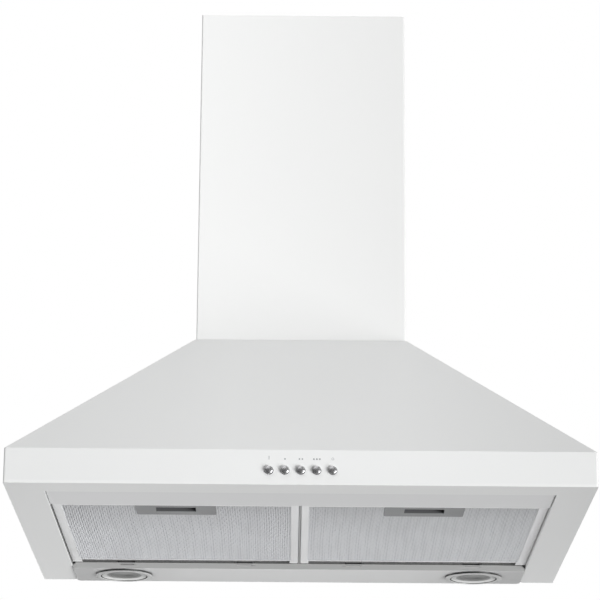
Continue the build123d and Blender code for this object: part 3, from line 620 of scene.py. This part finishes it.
def disc_mark(name, x, z, r, seg=28, inner=0.0):
    verts, faces = [], []
    for y in (-500.02, -500.06):
        for k in range(seg):
            a = 2 * math.pi * k / seg
            verts.append(((x + r * math.cos(a)) * MM, y * MM, (z + r * math.sin(a)) * MM))
    if inner <= 0:
        faces.append(tuple(range(seg)))
        faces.append(tuple(reversed(range(seg, 2 * seg))))
    else:
        for y in (-500.02, -500.06):
            for k in range(seg):
                a = 2 * math.pi * k / seg
                verts.append(((x + inner * math.cos(a)) * MM, y * MM, (z + inner * math.sin(a)) * MM))
        for k in range(seg):
            j = (k + 1) % seg
            faces.append((k, j, 2 * seg + j, 2 * seg + k))
            faces.append((seg + j, seg + k, 3 * seg + k, 3 * seg + j))
            faces.append((2 * seg + k, 2 * seg + j, 3 * seg + j, 3 * seg + k))
    for k in range(seg):
        j = (k + 1) % seg
        faces.append((j, k, seg + k, seg + j))
    o = new_mesh(name, verts, faces, ink.m)
    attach(o, "hood")
    return o


def bar_mark(name, x, z, w, h):
    verts = [((x + sx * w / 2) * MM, y * MM, (z + sz * h / 2) * MM) for y in (-500.02, -500.06)
             for sx, sz in ((-1, -1), (1, -1), (1, 1), (-1, 1))]
    faces = [(0, 1, 2, 3), (7, 6, 5, 4), (0, 4, 5, 1), (1, 5, 6, 2), (2, 6, 7, 3), (3, 7, 4, 0)]
    o = new_mesh(name, verts, faces, ink.m)
    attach(o, "hood")
    return o


bar_mark("mark_off", -2 * BTN_PITCH, MARK_Z + 1.2, 0.7, 3.8)
disc_mark("mark_speed_1", -BTN_PITCH, MARK_Z, 0.85)
for k, dx in enumerate((-1.5, 1.5)):
    disc_mark("mark_speed_2_%d" % k, dx, MARK_Z, 0.85)
for k, dx in enumerate((-3.0, 0.0, 3.0)):
    disc_mark("mark_speed_3_%d" % k, BTN_PITCH + dx, MARK_Z, 0.9)
disc_mark("mark_lamp", 2 * BTN_PITCH, MARK_Z + 0.4, 1.3, inner=0.95)

# ------------------------------------------------------------------ studio
floor_me = bpy.data.meshes.new("studio_floor")
S, Z = 40.0, -4.75
floor_me.from_pydata([(-S, -S, Z), (S, -S, Z), (S, S, Z), (-S, S, Z)], [], [(0, 1, 2, 3)])
floor = bpy.data.objects.new("studio_floor", floor_me)
bpy.context.scene.collection.objects.link(floor)
fm = Mat("studio_floor_paint", (0.80, 0.80, 0.80), 0.8)
fm.color(fm.ramp(fm.noise(2.0, 3.0), [(0.3, (0.78, 0.78, 0.78)), (0.7, (0.82, 0.82, 0.82))]))
fm.set("Emission Color", (1.0, 1.0, 1.0, 1.0))
fm.set("Emission Strength", 0.48)
floor_me.materials.append(fm.m)
floor.visible_diffuse = floor.visible_glossy = floor.visible_shadow = False


def area(name, loc, target, size, power, size_y=None, color=(1, 1, 1)):
    d = bpy.data.lights.new(name, "AREA")
    d.shape = "RECTANGLE"
    d.size, d.size_y = size, size_y or size
    d.energy = power
    d.color = color
    o = bpy.data.objects.new(name, d)
    o.location = loc
    o.rotation_mode = "QUATERNION"
    o.rotation_quaternion = (Vector(target) - Vector(loc)).to_track_quat("-Z", "Y")
    bpy.context.scene.collection.objects.link(o)
    o.visible_camera = False
    return o


AMBIENT = 0.02
area("key_low_right", (5.37, -5.13, -2.35), (0, -0.5, 0.1), 5.0, 683.0, 3.8)
area("fill_high", (-0.35, -1.6, 1.2), (0, -0.3, 0.35), 1.2, 4.4, 1.1)
for fill in (area("fill_left", (-0.9, -1.3, 0.75), (0, -0.25, 0.45), 0.5, 2.9, 0.5),
             area("below_left", (-1.0, -0.3, -0.45), (-0.1, -0.3, 0.0), 0.5, 1.87, 0.5),
             area("below_left_front", (-1.0, -1.1, -0.6), (-0.2, -0.4, 0.0), 0.5, 0.8, 0.5)):
    fill.visible_glossy = False
area("below_rear", (0, 0.7, -0.55), (0, -0.2, 0.0), 0.9, 1.86, 0.4)
area("below_left_rear", (-1.0, 0.5, -0.5), (-0.1, -0.2, 0.0), 0.5, 5.06, 0.5)
area("below_right_rear", (1.0, 0.5, -0.5), (0.1, -0.2, 0.0), 0.5, 4.28, 0.5)

# The surroundings light the hood as a few soft patches: (azimuth from the front, elevation, strength, tightness).
PATCHES = [(60, 45, 0.60, 7.0), (300, 45, 0.25, 7.0), (0, 90, 1.25, 7.0), (180, 45, 0.60, 7.0), (180, -25, 0.10, 7.0)]
w = bpy.data.worlds.new("studio_world")
bpy.context.scene.world = w
w.use_nodes = True
wt = w.node_tree
bg = wt.nodes["Background"]
bg.inputs["Color"].default_value = (1, 1, 1, 1)
gen = wt.nodes.new("ShaderNodeTexCoord").outputs["Generated"]
nrm = wt.nodes.new("ShaderNodeVectorMath")
nrm.operation = "NORMALIZE"
wt.links.new(gen, nrm.inputs[0])
total = None
for az, el, power, tight in PATCHES:
    az, el = math.radians(az), math.radians(el)
    dot = wt.nodes.new("ShaderNodeVectorMath")
    dot.operation = "DOT_PRODUCT"
    wt.links.new(nrm.outputs[0], dot.inputs[0])
    dot.inputs[1].default_value = (math.sin(az) * math.cos(el), -math.cos(az) * math.cos(el), math.sin(el))
    outs = dot.outputs["Value"]
    for op, v in (("MAXIMUM", 0.0), ("POWER", tight), ("MULTIPLY", power)):
        n = wt.nodes.new("ShaderNodeMath")
        n.operation = op
        wt.links.new(outs, n.inputs[0])
        n.inputs[1].default_value = v
        outs = n.outputs[0]
    add = wt.nodes.new("ShaderNodeMath")
    add.operation = "ADD"
    wt.links.new(outs, add.inputs[0])
    if total is None:
        add.inputs[1].default_value = AMBIENT
    else:
        wt.links.new(total, add.inputs[1])
    total = add.outputs[0]
wt.links.new(total, bg.inputs["Strength"])
seen = wt.nodes.new("ShaderNodeBackground")
seen.inputs["Color"].default_value = (1, 1, 1, 1)
seen.inputs["Strength"].default_value = 1.0
mixs = wt.nodes.new("ShaderNodeMixShader")
lp = wt.nodes.new("ShaderNodeLightPath")
wt.links.new(lp.outputs["Is Camera Ray"], mixs.inputs[0])
wt.links.new(bg.outputs[0], mixs.inputs[1])
wt.links.new(seen.outputs[0], mixs.inputs[2])
wt.links.new(mixs.outputs[0], wt.nodes["World Output"].inputs["Surface"])

sc = bpy.context.scene
sc.view_settings.view_transform = "Standard"
sc.view_settings.look = "None"
sc.view_settings.exposure = 0.0
sc.view_settings.gamma = 1.0
